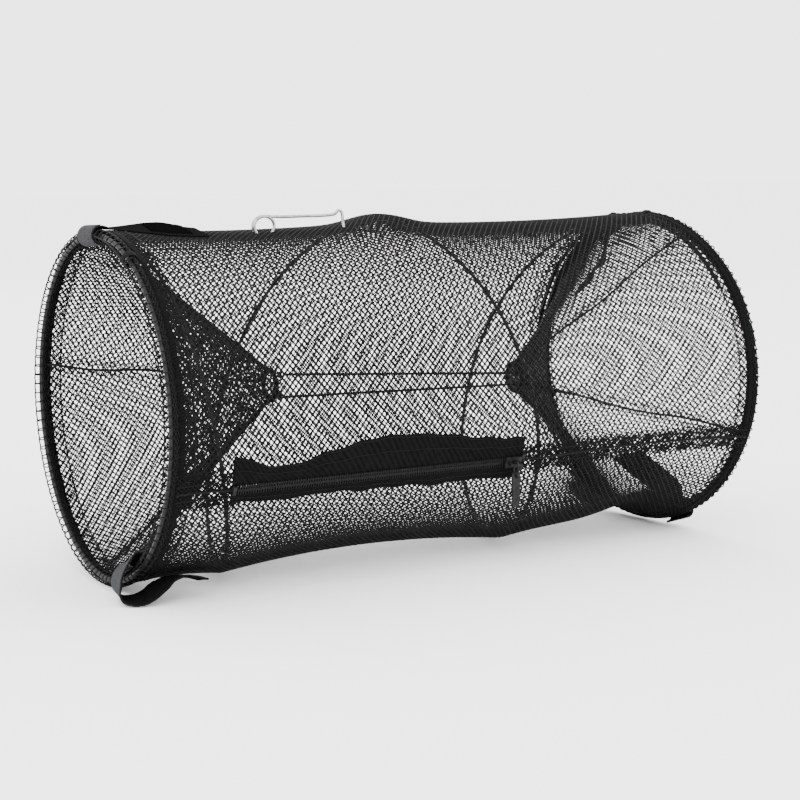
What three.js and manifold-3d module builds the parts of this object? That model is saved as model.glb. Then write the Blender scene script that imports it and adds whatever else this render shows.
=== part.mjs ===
// Folding spring-coil crab trap, lying open on its side. Millimetres, +Z up.
// +X runs along the trap's axis from the left end hoop, whose plane is x = 0, to the right end hoop.
// The origin is the point where the left hoop rests on the floor. An angle around the trap is in
// degrees from the bottom: 90 is the near side (-Y), 180 the top and -90 the far side (+Y).
import * as THREE from 'three';
import Module from 'manifold-3d';
import { mergeVertices } from 'three/addons/utils/BufferGeometryUtils.js';

// Driving dimensions
const HOOP_RADIUS = 127;            // outside of the netting hem
const TRAP_LENGTH = 475;            // between the two hoop planes
const RIGHT_HOOP_YAW = 6.6;         // degrees the right hoop stands off square when the trap is open
const HOOP_SIDES = 40;
const HEM_RADIUS = 5;               // half the thickness of the hem, across its flats
const HEM_WALL = 2.4;
const HEM_SLIT = 1.0;
const HOOP_WIRE_RADIUS = 2;
const GAP = 0.35;                   // between neighbouring pieces

const COIL_RADIUS = 119.8;
const COIL_WIRE_RADIUS = 1.6;
const COIL_TURNS = 2.15;
// where the coil's wire is along the trap, at every quarter turn from the top of the left hoop
const COIL_STATIONS = [9, 31, 86, 155, 226, 285, 322, 388, 459, 476];

const NET_RADIUS = 124.8;           // outside of the netting where a wire holds it out
const NET_WALL = 0.8;
const NET_DIP_TOP = 3;              // how far it draws in between two wires a long way apart
const NET_DIP_BOTTOM = 8;
const NET_DIP_SPAN = 230;
const NET_TUCK = 14;                // and how far a fold draws it in low down, near the right hoop
const NET_TUCK_X = 430;
const COIL_LIFT = 6;                // how much the coil stands proud on top, a little left of the middle
const COIL_LIFT_X = 226;
const NET_SIDES = 44;
const NET_STATIONS = 14;

const SEAM_ANGLE = 70;              // the lengthwise seam, which holds the zipper
const SLIT_HALF_ANGLE = 4;
const ZIP_START = 44;
const ZIP_END = 277;
const TAPE_RADIUS = 125.2;
const TAPE_THICKNESS = 0.8;
const TAPE_INNER_ANGLE = 1.7;
// how far each tape's wavy outer edge is from the seam, in degrees, at even steps along the zipper
const TAPE_EDGES = { upper: [10.8, 6.4, 10.6, 13.2, 12.4, 9.8, 8], lower: [5, 5.3, 4.9, 5.2, 5.8, 6, 6.4] };
const TEETH_HEIGHT = 1.9;
const TEETH_INNER_ANGLE = 0.12;
const TEETH_OUTER_ANGLE = 1.5;
const SLIDER_X = 268;
const SLIDER_LENGTH = 13;

const THROAT_RADIUS = 11;
const THROAT_HEM_RADIUS = 2;
const LEFT_THROAT = { x: 132, z: 134.5 };
const RIGHT_THROAT = { x: 348, z: 126 };
const FUNNEL_MOUTH_RADIUS = 111;
const FUNNEL_WALL = 0.8;
const CORD_RADIUS = 1;
const KNOT_RADIUS = 2.4;

const STRAP_WIDTH = 25;
const STRAP_THICKNESS = 1.4;
const PAD_WIDTH = 21;
const PAD_THICKNESS = 1.1;
const ANCHOR_RADIUS = 6.4;          // inside of a strap's close loop round the hem
const ANCHOR_CENTRE = 121.9;
const RIGHT_STRAP_LENGTH = 70;

const CLIP_X = 121.5;               // the middle of the bait clip's eye
const CLIP_Y = -14;
const CLIP_Z = 252.3;
const CLIP_WIRE_RADIUS = 1.1;
const CLIP_EYE_RADIUS = 7.4;
const CLIP_LENGTH = 65.6;           // from the eye's middle to the hook's back
const CLIP_PITCH = 2.6;             // between the eye's turns

const AXIS_Z = HOOP_RADIUS;
const rad = THREE.MathUtils.degToRad;

// ---------------------------------------------------------------- materials
function finish(color, roughness, metalness = 0) {
  return new THREE.MeshStandardMaterial({ color, roughness, metalness });
}


const NETTING = finish(0x16171a, 0.8);
const HEM_CLOTH = finish(0x1b1c1f, 0.85);
const SPRING_STEEL = finish(0x17181a, 0.45, 0.6);
const ZIP_TAPE = finish(0x0d0d0f, 0.9);
const ZIP_TEETH = finish(0x121214, 0.5);
const ZIP_METAL = finish(0x1c1c1e, 0.4, 0.7);
const CORD_BLACK = finish(0x101113, 0.8);
const WEBBING = finish(0x131416, 0.85);
const FUZZY_PAD = finish(0x3c3e42, 1.0);
const BRIGHT_WIRE = finish(0xb9bcc0, 0.25, 1.0);

// ---------------------------------------------------------------- places and frames
/** The point at `radius` from the trap's axis, `x` along it and `angle` degrees around it. */
function around(x, angle, radius) {
  const a = rad(angle);
  return new THREE.Vector3(x, -radius * Math.sin(a), AXIS_Z - radius * Math.cos(a));
}

/** How far the right hoop's plane stands beyond x = TRAP_LENGTH at an angle. */
function yawOffset(angle, radius = HOOP_RADIUS) {
  return Math.tan(rad(RIGHT_HOOP_YAW)) * radius * Math.sin(rad(angle));
}

/** A smooth curve through values spaced evenly, read at a position counted in spacings. */
function throughStations(values, position) {
  const i = Math.min(Math.floor(position), values.length - 2);
  const at = (k) => values[Math.max(0, Math.min(values.length - 1, k))];
  const t = position - i;
  const [p0, p1, p2, p3] = [at(i - 1), at(i), at(i + 1), at(i + 2)];
  const bend = 2 * p0 - 5 * p1 + 4 * p2 - p3;
  const twist = 3 * (p1 - p2) + p3 - p0;
  return p1 + 0.5 * t * (p2 - p0 + t * (bend + t * twist));
}

/** Where the coil's wire is along the trap after a number of turns. */
function coilX(turns) {
  const quarter = turns * 4;
  return throughStations(COIL_STATIONS, quarter);
}

/** How far the coil holds the netting up at a place, where it stands proud on top. */
function coilLift(x, angle) {
  const fromTop = THREE.MathUtils.euclideanModulo(angle, 360) - 180;
  return COIL_LIFT * Math.exp(-(((x - COIL_LIFT_X) / 26) ** 2) - (fromTop / 36) ** 2);
}

/** How far the netting draws in at a place, between the wires on each side of it. */
function netDip(x, angle) {
  const wrapped = THREE.MathUtils.euclideanModulo(angle + 180, 360) - 180;
  const wires = [0];
  for (let turns = (180 - wrapped) / 360; turns <= COIL_TURNS; turns += 1) {
    wires.push(coilX(turns));
  }
  wires.push(TRAP_LENGTH + yawOffset(angle));
  const after = Math.max(1, wires.findIndex((wire) => wire > x));
  const [low, high] = [wires[after - 1], wires[after]];
  const share = THREE.MathUtils.clamp((x - low) / (high - low), 0, 1);
  const lowSide = (1 + Math.cos(rad(angle))) / 2;
  const deepest = THREE.MathUtils.lerp(NET_DIP_TOP, NET_DIP_BOTTOM, lowSide);
  const between = deepest * Math.min(1, (high - low) / NET_DIP_SPAN) * 4 * share * (1 - share);
  const tuck = NET_TUCK * Math.exp(-(((x - NET_TUCK_X) / 30) ** 2) - (wrapped / 35) ** 2);
  return between + tuck * THREE.MathUtils.clamp((high - x) / 15, 0, 1) - coilLift(x, angle);
}

// ---------------------------------------------------------------- solids
/** A closed solid from rings of points: each ring joins the next, and the ends are capped or joined. */
function solidFromRings(rings, joinEnds = false) {
  const count = rings[0].length;
  const positions = rings.flat().flatMap((point) => point.toArray());
  const faces = [];
  const last = joinEnds ? rings.length : rings.length - 1;
  for (let i = 0; i < last; i += 1) {
    const next = (i + 1) % rings.length;
    for (let j = 0; j < count; j += 1) {
      const k = (j + 1) % count;
      const [a, b, c, d] = [i * count + j, i * count + k, next * count + k, next * count + j];
      faces.push(a, b, c, a, c, d);
    }
  }
  if (!joinEnds) {
    const end = (rings.length - 1) * count;
    for (let j = 1; j < count - 1; j += 1) {
      faces.push(0, j + 1, j, end, end + j, end + j + 1);
    }
  }
  const geometry = new THREE.BufferGeometry();
  geometry.setAttribute('position', new THREE.Float32BufferAttribute(positions, 3));
  geometry.setIndex(faces);
  return facingOut(geometry);
}

/** Turns a closed geometry's faces over if they point in. */
function facingOut(geometry) {
  const corner = [new THREE.Vector3(), new THREE.Vector3(), new THREE.Vector3()];
  const { position } = geometry.attributes;
  const index = geometry.index.array;
  let volume = 0;
  for (let i = 0; i < index.length; i += 3) {
    corner.forEach((v, k) => v.fromBufferAttribute(position, index[i + k]));
    volume += corner[0].dot(corner[1].cross(corner[2]));
  }
  if (volume < 0) {
    for (let i = 0; i < index.length; i += 3) {
      [index[i], index[i + 1]] = [index[i + 1], index[i]];
    }
  }
  return geometry;
}

/** A curved plate on the trap: `place(u, v)` gives its outer { x, angle, radius } for u, v in 0..1. */
function sidePlate(place, thickness, along, across) {
  const rings = [];
  for (let i = 0; i <= along; i += 1) {
    const outer = [];
    const inner = [];
    for (let j = 0; j <= across; j += 1) {
      const { x, angle, radius } = place(i / along, j / across);
      outer.push(around(x, angle, radius));
      inner.unshift(around(x, angle, radius - thickness));
    }
    rings.push([...outer, ...inner]);
  }
  return solidFromRings(rings);
}

/** A ring turned about an axis along X through the origin, from a closed outline of [x, radius] points. */
function turned(outline, sides) {
  const profile = [...outline, outline[0]].map(([x, radius]) => new THREE.Vector2(radius, x));
  const geometry = new THREE.LatheGeometry(profile, sides, Math.PI / sides);
  geometry.deleteAttribute('normal');
  geometry.deleteAttribute('uv');
  geometry.rotateZ(-Math.PI / 2);
  return facingOut(mergeVertices(geometry, 1e-3));
}

/** A round bar along a curve. */
function bar(curve, radius, steps, sides = 8) {
  const section = new THREE.Shape();
  for (let i = 0; i < sides; i += 1) {
    const a = (2 * Math.PI * i) / sides;
    section[i ? 'lineTo' : 'moveTo'](radius * Math.cos(a), radius * Math.sin(a));
  }
  section.closePath();
  return new THREE.ExtrudeGeometry(section, { steps, extrudePath: curve, bevelEnabled: false });
}

/** A strip of webbing: a line of [along, out] points, thickened outwards and made `width` wide about 0. */
function strip(line, thickness, width) {
  const points = line.map(([along, out]) => new THREE.Vector2(along, out));
  const lifted = points.map((point, i) => {
    const before = points[Math.max(0, i - 1)];
    const after = points[Math.min(points.length - 1, i + 1)];
    const run = after.clone().sub(before).normalize();
    return new THREE.Vector2(point.x - run.y * thickness, point.y + run.x * thickness);
  });
  const outline = new THREE.Shape([...points, ...lifted.reverse()]);
  const geometry = new THREE.ExtrudeGeometry(outline, { depth: width, bevelEnabled: false });
  geometry.translate(0, 0, -width / 2);
  return geometry;
}

/** Part of a circle as [along, out] points, from one angle to another in degrees. */
function arc(centre, radius, from, to, steps) {
  return Array.from({ length: steps + 1 }, (_, i) => {
    const a = rad(from + ((to - from) * i) / steps);
    return [centre[0] + radius * Math.cos(a), centre[1] + radius * Math.sin(a)];
  });
}

// ---------------------------------------------------------------- booleans
const wasm = await Module();
wasm.setup();

function toManifold(geometry) {
  const plain = geometry.clone();
  plain.deleteAttribute('normal');
  plain.deleteAttribute('uv');
  const merged = mergeVertices(plain, 1e-4);
  return new wasm.Manifold(new wasm.Mesh({
    numProp: 3,
    vertProperties: new Float32Array(merged.attributes.position.array),
    triVerts: new Uint32Array(merged.index.array),
  }));
}

function toGeometry(manifold) {
  const mesh = manifold.getMesh();
  const geometry = new THREE.BufferGeometry();
  geometry.setAttribute('position', new THREE.Float32BufferAttribute(mesh.vertProperties, 3));
  geometry.setIndex([...mesh.triVerts]);
  return geometry;
}

const box = (dx, dy, dz, x = 0, y = 0, z = 0) => new THREE.BoxGeometry(dx, dy, dz).translate(x, y, z);

// ---------------------------------------------------------------- assembly
const trap = new THREE.Group();

function addPiece(parent, name, geometry, material) {
  const mesh = new THREE.Mesh(geometry, material);
  mesh.name = name;
  parent.add(mesh);
  return mesh;
}

// ---------------------------------------------------------------- end hoops
/** An arc of a regular outline round the wire, from the slit's one lip to its other. */
function hemSkin(flatRadius, sides) {
  const radius = flatRadius / Math.cos(Math.PI / sides);
  const corners = Array.from({ length: sides }, (_, i) => Math.PI * (2 * i + 1) / sides)
    .map((a) => [radius * Math.cos(a), radius * Math.sin(a)]);
  const lip = HEM_SLIT / 2;
  return [[flatRadius, lip], ...corners, [flatRadius, -lip]];
}

/** One end's hoop: the steel wire, and the hem folded round it, open on the side towards the netting. */
function buildHoop(side, group, inward) {
  const wire = new THREE.TorusGeometry(HOOP_RADIUS - HEM_RADIUS, HOOP_WIRE_RADIUS, 6, HOOP_SIDES);
  wire.rotateZ(Math.PI / HOOP_SIDES);
  wire.rotateY(Math.PI / 2);
  addPiece(group, `end_hoop_${side}`, wire, SPRING_STEEL);
  const centre = HOOP_RADIUS / Math.cos(Math.PI / HOOP_SIDES) - HEM_RADIUS;
  const outline = [...hemSkin(HEM_RADIUS, 8), ...hemSkin(HEM_RADIUS - HEM_WALL, 6).reverse()]
    .map(([x, out]) => [inward * x, centre + out]);
  addPiece(group, `hem_${side}`, turned(outline, HOOP_SIDES), HEM_CLOTH);
}

const leftEnd = new THREE.Group();
leftEnd.position.set(0, 0, AXIS_Z);
const rightEnd = new THREE.Group();
rightEnd.position.set(TRAP_LENGTH, 0, AXIS_Z);
rightEnd.rotation.z = rad(RIGHT_HOOP_YAW);
trap.add(leftEnd, rightEnd);
buildHoop('left', leftEnd, 1);
buildHoop('right', rightEnd, -1);

// ---------------------------------------------------------------- spring coil
const coilAngle = (turns) => 180 - 360 * turns;

/** A stretch of the coil's own line, as a curve. */
function coilCurve(from, to, steps) {
  const points = Array.from({ length: steps + 1 }, (_, i) => {
    const turns = from + ((to - from) * i) / steps;
    const [x, angle] = [coilX(turns), coilAngle(turns)];
    return around(x, angle, COIL_RADIUS + coilLift(x, angle));
  });
  return new THREE.CatmullRomCurve3(points);
}

const COIL_STEPS = 68;
const coilLine = coilCurve(0, COIL_TURNS, COIL_STEPS);
addPiece(trap, 'spring_coil', bar(coilLine, COIL_WIRE_RADIUS, COIL_STEPS, 6), SPRING_STEEL);

// ---------------------------------------------------------------- netting
const NET_START = HEM_RADIUS + GAP;
const RIGHT_END_GAP = 1.2;          // more room at the hem that stands off square

/** The netting's outer surface: round at the wires and drawn in between them. */
function netSurface(u, angle) {
  const end = TRAP_LENGTH + yawOffset(angle) - NET_START - RIGHT_END_GAP;
  const x = THREE.MathUtils.lerp(NET_START, end, u);
  return { x, angle, radius: NET_RADIUS - netDip(x, angle) };
}

const netTurn = 360 - 2 * SLIT_HALF_ANGLE;
const netting = sidePlate(
  (v, u) => netSurface(u, SEAM_ANGLE + SLIT_HALF_ANGLE + v * netTurn),
  NET_WALL, NET_SIDES, NET_STATIONS,
);
// the bait clip goes through the netting at its eye and at its hook
const eyeHole = box(22, 10, 30, CLIP_X, CLIP_Y, CLIP_Z);
const hookHole = box(12, 10, 30, CLIP_X + CLIP_LENGTH, CLIP_Y, CLIP_Z);
const piercedNetting = toManifold(netting).subtract(toManifold(eyeHole)).subtract(toManifold(hookHole));
addPiece(trap, 'body_netting', toGeometry(piercedNetting), NETTING);

/** A doubled strip of netting over the slit, from the zipper's end to a hoop. */
function seamStrip(name, from, to) {
  const HALF_ANGLE = 4.6;
  const place = (u, v) => ({
    x: THREE.MathUtils.lerp(from, to, u),
    angle: SEAM_ANGLE + HALF_ANGLE * (2 * v - 1),
    radius: TAPE_RADIUS + TAPE_THICKNESS,
  });
  addPiece(trap, name, sidePlate(place, TAPE_THICKNESS, 6, 3), NETTING);
}

seamStrip('seam_strip_left', NET_START, ZIP_START - 4);
seamStrip('seam_strip_right', ZIP_END + 6, TRAP_LENGTH + yawOffset(SEAM_ANGLE) - NET_START - 2);

// ---------------------------------------------------------------- entrance funnels
/** One entrance: a netting cone from the hoop to the throat, and the hem round the throat. */
function buildFunnel(side, throat, inward, mouthX) {
  const STATIONS = 4;
  const SIDES = 32;
  const neckX = throat.x - inward * (THROAT_HEM_RADIUS + GAP);
  const ring = (share, wall) => Array.from({ length: SIDES }, (_, i) => {
    const angle = (360 * i) / SIDES;
    const mouth = around(mouthX(angle) + inward * NET_START, angle, FUNNEL_MOUTH_RADIUS - wall);
    const neck = around(neckX, angle, THROAT_RADIUS - wall);
    neck.z += throat.z - AXIS_Z;
    return mouth.lerp(neck, share);
  });
  const rings = [];
  for (let i = 0; i <= STATIONS; i += 1) {
    rings.push(ring(i / STATIONS, 0));
  }
  for (let i = STATIONS; i >= 0; i -= 1) {
    rings.push(ring(i / STATIONS, FUNNEL_WALL));
  }
  addPiece(trap, `funnel_netting_${side}`, solidFromRings(rings, true), NETTING);

  const hem = new THREE.TorusGeometry(THROAT_RADIUS, THROAT_HEM_RADIUS, 6, 20);
  hem.rotateY(Math.PI / 2);
  hem.translate(throat.x, 0, throat.z);
  addPiece(trap, `throat_hem_${side}`, hem, HEM_CLOTH);
}

buildFunnel('left', LEFT_THROAT, 1, () => 0);
buildFunnel('right', RIGHT_THROAT, -1, (angle) => TRAP_LENGTH + yawOffset(angle, FUNNEL_MOUTH_RADIUS));

// ---------------------------------------------------------------- throat cords
const KNOT_STAND_OFF = THROAT_HEM_RADIUS + GAP + KNOT_RADIUS;

/** A taut cord between the throats, tied in a knot against each throat's hem. */
function throatCord(name, leftAngle, rightAngle) {
  const onHem = (throat, angle, toMiddle) => new THREE.Vector3(
    throat.x + toMiddle * KNOT_STAND_OFF,
    -THROAT_RADIUS * Math.sin(rad(angle)),
    throat.z - THROAT_RADIUS * Math.cos(rad(angle)),
  );
  const left = onHem(LEFT_THROAT, leftAngle, 1);
  const right = onHem(RIGHT_THROAT, rightAngle, -1);
  [['left', left], ['right', right]].forEach(([side, place]) => {
    const knot = new THREE.DodecahedronGeometry(KNOT_RADIUS, 0);
    knot.translate(place.x, place.y, place.z);
    addPiece(trap, `${name}_knot_${side}`, knot, CORD_BLACK);
  });
  const along = right.clone().sub(left).normalize().multiplyScalar(KNOT_RADIUS + GAP);
  const curve = new THREE.LineCurve3(left.clone().add(along), right.clone().sub(along));
  addPiece(trap, name, bar(curve, CORD_RADIUS, 4, 8), CORD_BLACK);
}

throatCord('throat_cord_upper', 140, 115);
throatCord('throat_cord_lower', 40, 68);

// ---------------------------------------------------------------- zipper
/** One half of the zipper: its woven tape, and the row of teeth on the tape's inner edge. */
function zipperHalf(name, side) {
  const tape = (u, v) => {
    const x = THREE.MathUtils.lerp(ZIP_START, ZIP_END, u);
    const edge = throughStations(TAPE_EDGES[name], u * (TAPE_EDGES[name].length - 1));
    const angle = THREE.MathUtils.lerp(TAPE_INNER_ANGLE, edge, v);
    return { x, angle: SEAM_ANGLE + side * angle, radius: TAPE_RADIUS + TAPE_THICKNESS };
  };
  addPiece(trap, `zipper_tape_${name}`, sidePlate(tape, TAPE_THICKNESS, 18, 2), ZIP_TAPE);
  const teeth = (u, v) => ({
    x: THREE.MathUtils.lerp(ZIP_START + 4, SLIDER_X - SLIDER_LENGTH / 2 - 1, u),
    angle: SEAM_ANGLE + side * THREE.MathUtils.lerp(TEETH_INNER_ANGLE, TEETH_OUTER_ANGLE, v),
    radius: TAPE_RADIUS + TAPE_THICKNESS + 0.5,
  });
  addPiece(trap, `zipper_teeth_${name}`, sidePlate(teeth, TEETH_HEIGHT, 10, 1), ZIP_TEETH);
  const stop = box(2.4, 3.4, 2.4);
  placeOnZip(stop, ZIP_END - 1, side * 1.9, TAPE_RADIUS + TAPE_THICKNESS + GAP + 1.2);
  addPiece(trap, `zipper_top_stop_${name}`, stop, ZIP_METAL);
}

/** Puts a piece built round the origin, with +Z outwards and +Y up the zipper's band, on the zipper. */
function placeOnZip(geometry, x, angle, radius) {
  geometry.rotateX(rad(180 - SEAM_ANGLE - angle));
  const place = around(x, SEAM_ANGLE + angle, radius);
  geometry.translate(place.x, place.y, place.z);
}

zipperHalf('upper', 1);
zipperHalf('lower', -1);

const bottomStop = box(2.4, 6, 2.2);
placeOnZip(bottomStop, ZIP_START + 1.5, 0, TAPE_RADIUS + TAPE_THICKNESS + GAP + 1.1);
addPiece(trap, 'zipper_bottom_stop', bottomStop, ZIP_METAL);

// The slider: two plates joined by a wedge between the tapes, with an arched bridge for the pull's link
const SLIDER_WIDTH = 8.4;
const PLATE = 1.5;
const CHANNEL = 3.2;
const BRIDGE_RISE = 3.4;
const BRIDGE_BAR = 1.3;
const SLIDER_RADIUS = TAPE_RADIUS + TAPE_THICKNESS / 2;
const BAR_HEIGHT = CHANNEL / 2 + PLATE + BRIDGE_RISE;

function sliderBody() {
  const plateZ = CHANNEL / 2 + PLATE / 2;
  const pieces = [
    box(SLIDER_LENGTH, SLIDER_WIDTH, PLATE, 0, 0, plateZ),
    box(SLIDER_LENGTH, SLIDER_WIDTH, PLATE, 0, 0, -plateZ),
    box(3.2, 1.6, CHANNEL + 1, SLIDER_LENGTH / 2 - 2, 0, 0),
    box(BRIDGE_BAR, 2, BRIDGE_RISE, -4.2, 0, BAR_HEIGHT - BRIDGE_RISE / 2),
    box(BRIDGE_BAR, 2, BRIDGE_RISE, 4.2, 0, BAR_HEIGHT - BRIDGE_RISE / 2),
    box(8.4 + BRIDGE_BAR, 2, BRIDGE_BAR, 0, 0, BAR_HEIGHT),
  ];
  return toGeometry(pieces.map(toManifold).reduce((whole, piece) => whole.add(piece)));
}

const slider = sliderBody();
placeOnZip(slider, SLIDER_X, 0, SLIDER_RADIUS);
addPiece(trap, 'zipper_slider', slider, ZIP_METAL);

// The pull hangs straight down from the bridge's bar: a wire link round the bar, and a flat tab
const PULL_LINK_HALF = 2.6;
const PULL_LINK_LENGTH = 11;
const PULL_WIRE = 0.7;
const TAB_LENGTH = 26;
const pullPivot = around(SLIDER_X, SEAM_ANGLE, SLIDER_RADIUS + BAR_HEIGHT);

/** A round-cornered loop in the YZ plane, hanging down from z = `top`. */
function linkCurve(top) {
  const corner = (y, z) => new THREE.Vector3(0, y, z);
  const [w, low] = [PULL_LINK_HALF, top - PULL_LINK_LENGTH];
  return new THREE.CatmullRomCurve3([
    corner(-w, top - 2), corner(0, top), corner(w, top - 2),
    corner(w, low + 2), corner(0, low), corner(-w, low + 2),
  ], true);
}

/** A closed bar: rings of points set square to a closed curve. */
function closedBar(curve, radius, steps, sides) {
  const frames = curve.computeFrenetFrames(steps, true);
  const rings = Array.from({ length: steps }, (_, i) => {
    const middle = curve.getPointAt(i / steps);
    return Array.from({ length: sides }, (__, j) => {
      const a = (2 * Math.PI * j) / sides;
      return middle.clone()
        .addScaledVector(frames.normals[i], radius * Math.cos(a))
        .addScaledVector(frames.binormals[i], radius * Math.sin(a));
    });
  });
  return solidFromRings(rings, true);
}

const pull = new THREE.Group();
pull.position.copy(pullPivot);
trap.add(pull);
const LINK_TOP = 2.6;
addPiece(pull, 'zipper_pull_link', closedBar(linkCurve(LINK_TOP), PULL_WIRE, 18, 6), ZIP_METAL);

function pullTab() {
  const [half, end] = [3.6, TAB_LENGTH];
  const tip = half * 0.8;
  const corners = [[-half, 0], [half, 0], ...arc([0, tip - end], tip, 0, -180, 8)];
  const outline = new THREE.Shape(corners.map(([x, y]) => new THREE.Vector2(x, y)));
  const plate = new THREE.ExtrudeGeometry(outline, { depth: 1.4, bevelEnabled: false });
  plate.translate(0, 0, -0.7);
  const eye = new THREE.CylinderGeometry(1.6, 1.6, 4, 12);
  eye.rotateX(Math.PI / 2);
  eye.translate(0, -2.9, 0);
  return toGeometry(toManifold(plate).subtract(toManifold(eye)));
}

const tab = pullTab();
tab.rotateX(Math.PI / 2);
tab.translate(0, 0, LINK_TOP - PULL_LINK_LENGTH + 2.9);
addPiece(pull, 'zipper_pull_tab', tab, ZIP_METAL);

// ---------------------------------------------------------------- straps
/** A group on a hoop: local +X along the trap, +Y straight out from its axis at an angle round it. */
function placeOnHoop(hoop, angle) {
  const place = new THREE.Group();
  place.rotation.x = rad(270 - angle);
  hoop.add(place);
  return place;
}

/** A strap: the loop round the hem, the loose flap, and the flap's fuzzy pad, as [along, out] lines. */
function strap(name, hoop, angle, { loop, flap, pad }) {
  const place = placeOnHoop(hoop, angle);
  addPiece(place, `strap_loop_${name}`, strip(loop, STRAP_THICKNESS, STRAP_WIDTH), FUZZY_PAD);
  addPiece(place, `strap_flap_${name}`, strip(flap, STRAP_THICKNESS, STRAP_WIDTH), WEBBING);
  addPiece(place, `strap_pad_${name}`, strip(pad, PAD_THICKNESS, PAD_WIDTH), FUZZY_PAD);
}

const closeLoop = arc([0, ANCHOR_CENTRE], ANCHOR_RADIUS, 300, 60, 12);
const flapBase = ANCHOR_CENTRE + ANCHOR_RADIUS;

strap('left_top', leftEnd, -176, {
  loop: closeLoop,
  flap: [[4.4, flapBase - 0.1], [12, flapBase], [30, flapBase + 0.2], [54, flapBase],
    [62, flapBase - 0.3], [72, flapBase - 0.7]],
  pad: [[34, flapBase + 2], [44, flapBase + 1.9], [54, flapBase + 1.8], [61, flapBase + 1.5]],
});

const looseCentre = [-2, 125.2];
const LOOSE_RADIUS = 9;
const looseTop = looseCentre[1] + LOOSE_RADIUS;
strap('left_bottom', leftEnd, 31, {
  loop: arc(looseCentre, LOOSE_RADIUS, 270, 68, 14),
  flap: [[2.2, looseTop - 0.6], [9, looseTop - 2.8], [18, flapBase + 1.6], [32, flapBase + 0.4],
    [50, flapBase + 0.4], [62, flapBase + 1.2], [74, flapBase + 3], [82, flapBase + 5]],
  pad: [[34, flapBase + 2.3], [44, flapBase + 2.3], [50, flapBase + 2.3], [60, flapBase + 3]],
});

/** The right hoop's straps lie tucked in the mouth, along the funnel. */
function tuckedStrap(name, angle) {
  const funnelRun = TRAP_LENGTH - RIGHT_THROAT.x - NET_START - THROAT_HEM_RADIUS - GAP;
  const lean = Math.atan2(FUNNEL_MOUTH_RADIUS - THROAT_RADIUS, funnelRun);
  const [dx, dy] = [-Math.cos(lean), -Math.sin(lean)];
  const clear = 4.6;
  const start = [-5.4 - dy * clear, 110.2 + dx * clear];
  const down = (s, lift = 0) => [start[0] + dx * s - dy * lift, start[1] + dy * s + dx * lift];
  strap(name, rightEnd, angle, {
    loop: arc([0, ANCHOR_CENTRE], ANCHOR_RADIUS + STRAP_THICKNESS, 120, -120, 12),
    flap: [[-2.4, 112.7], down(3), down(20), down(45), down(RIGHT_STRAP_LENGTH)],
    pad: [32, 45, 62].map((s) => down(s, STRAP_THICKNESS + GAP)),
  });
}

tuckedStrap('right_near', 19.5);
tuckedStrap('right_far', -157);

// ---------------------------------------------------------------- hoop ties
/** Cord whipped round the hem where an end of the coil is tied to the hoop, open towards the netting. */
function hoopTie(side, hoop, angle, from, to) {
  const TIE_WIDTH = 4;
  const TIE_THICKNESS = 0.6;
  const flat = HEM_RADIUS + GAP;
  const line = arc([0, HOOP_RADIUS - HEM_RADIUS], flat / Math.cos(Math.PI / 8), from, to, 5);
  const tie = strip(line, TIE_THICKNESS, TIE_WIDTH);
  addPiece(placeOnHoop(hoop, angle), `hoop_tie_${side}`, tie, CORD_BLACK);
}

hoopTie('left', leftEnd, 153, 292.5, 67.5);
hoopTie('right', rightEnd, 180, 22.5, -112.5);

// ---------------------------------------------------------------- bait clip
const clip = new THREE.Group();
clip.position.set(CLIP_X, CLIP_Y, CLIP_Z);
trap.add(clip);

const EYE_TURNS = 1.5;
const SIDE_STEP = (EYE_TURNS * CLIP_PITCH) / 2;

/** The fixed side: the hook that holds the pin's point, the upper arm, and the eye's turns. */
function clipFrame() {
  const hook = [
    [CLIP_LENGTH - 5, -SIDE_STEP, -8.8], [CLIP_LENGTH - 2, 0.4 - SIDE_STEP, -8.6], [CLIP_LENGTH, 0, -5],
    [CLIP_LENGTH, SIDE_STEP, 3], [CLIP_LENGTH - 0.8, SIDE_STEP, 8.6], [CLIP_LENGTH - 3.6, SIDE_STEP, 10.2],
    [CLIP_LENGTH - 7, SIDE_STEP, 7.4],
  ];
  const arm = [0.75, 0.5, 0.25].map((share) => [CLIP_LENGTH * share, SIDE_STEP, 6.6]);
  const eye = Array.from({ length: 25 }, (_, i) => {
    const share = i / 24;
    const a = Math.PI / 2 + 2 * Math.PI * EYE_TURNS * share;
    return [CLIP_EYE_RADIUS * Math.cos(a), SIDE_STEP * (1 - 2 * share), CLIP_EYE_RADIUS * Math.sin(a)];
  });
  const line = [...hook, ...arm, ...eye].map((point) => new THREE.Vector3(...point));
  return bar(new THREE.CatmullRomCurve3(line, false, 'centripetal'), CLIP_WIRE_RADIUS, 64, 6);
}

/** The sprung side: a straight pin with a tapered point. */
function clipPin() {
  const from = new THREE.Vector3(CLIP_WIRE_RADIUS + GAP, -SIDE_STEP, -CLIP_EYE_RADIUS);
  const to = new THREE.Vector3(CLIP_LENGTH - 4, -SIDE_STEP, -CLIP_EYE_RADIUS + 0.8);
  const length = from.distanceTo(to);
  const POINT = 6;
  const wide = CLIP_WIRE_RADIUS;
  const profile = [[0, 0], [wide, 0], [wide, length - POINT], [0.25, length], [0, length]]
    .map(([radius, along]) => new THREE.Vector2(radius, along));
  const pin = new THREE.LatheGeometry(profile, 8);
  const along = to.clone().sub(from).normalize();
  pin.applyQuaternion(new THREE.Quaternion().setFromUnitVectors(new THREE.Vector3(0, 1, 0), along));
  pin.translate(from.x, from.y, from.z);
  return pin;
}

addPiece(clip, 'bait_clip_frame', clipFrame(), BRIGHT_WIRE);
addPiece(clip, 'bait_clip_pin', clipPin(), BRIGHT_WIRE);

export default trap;
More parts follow.
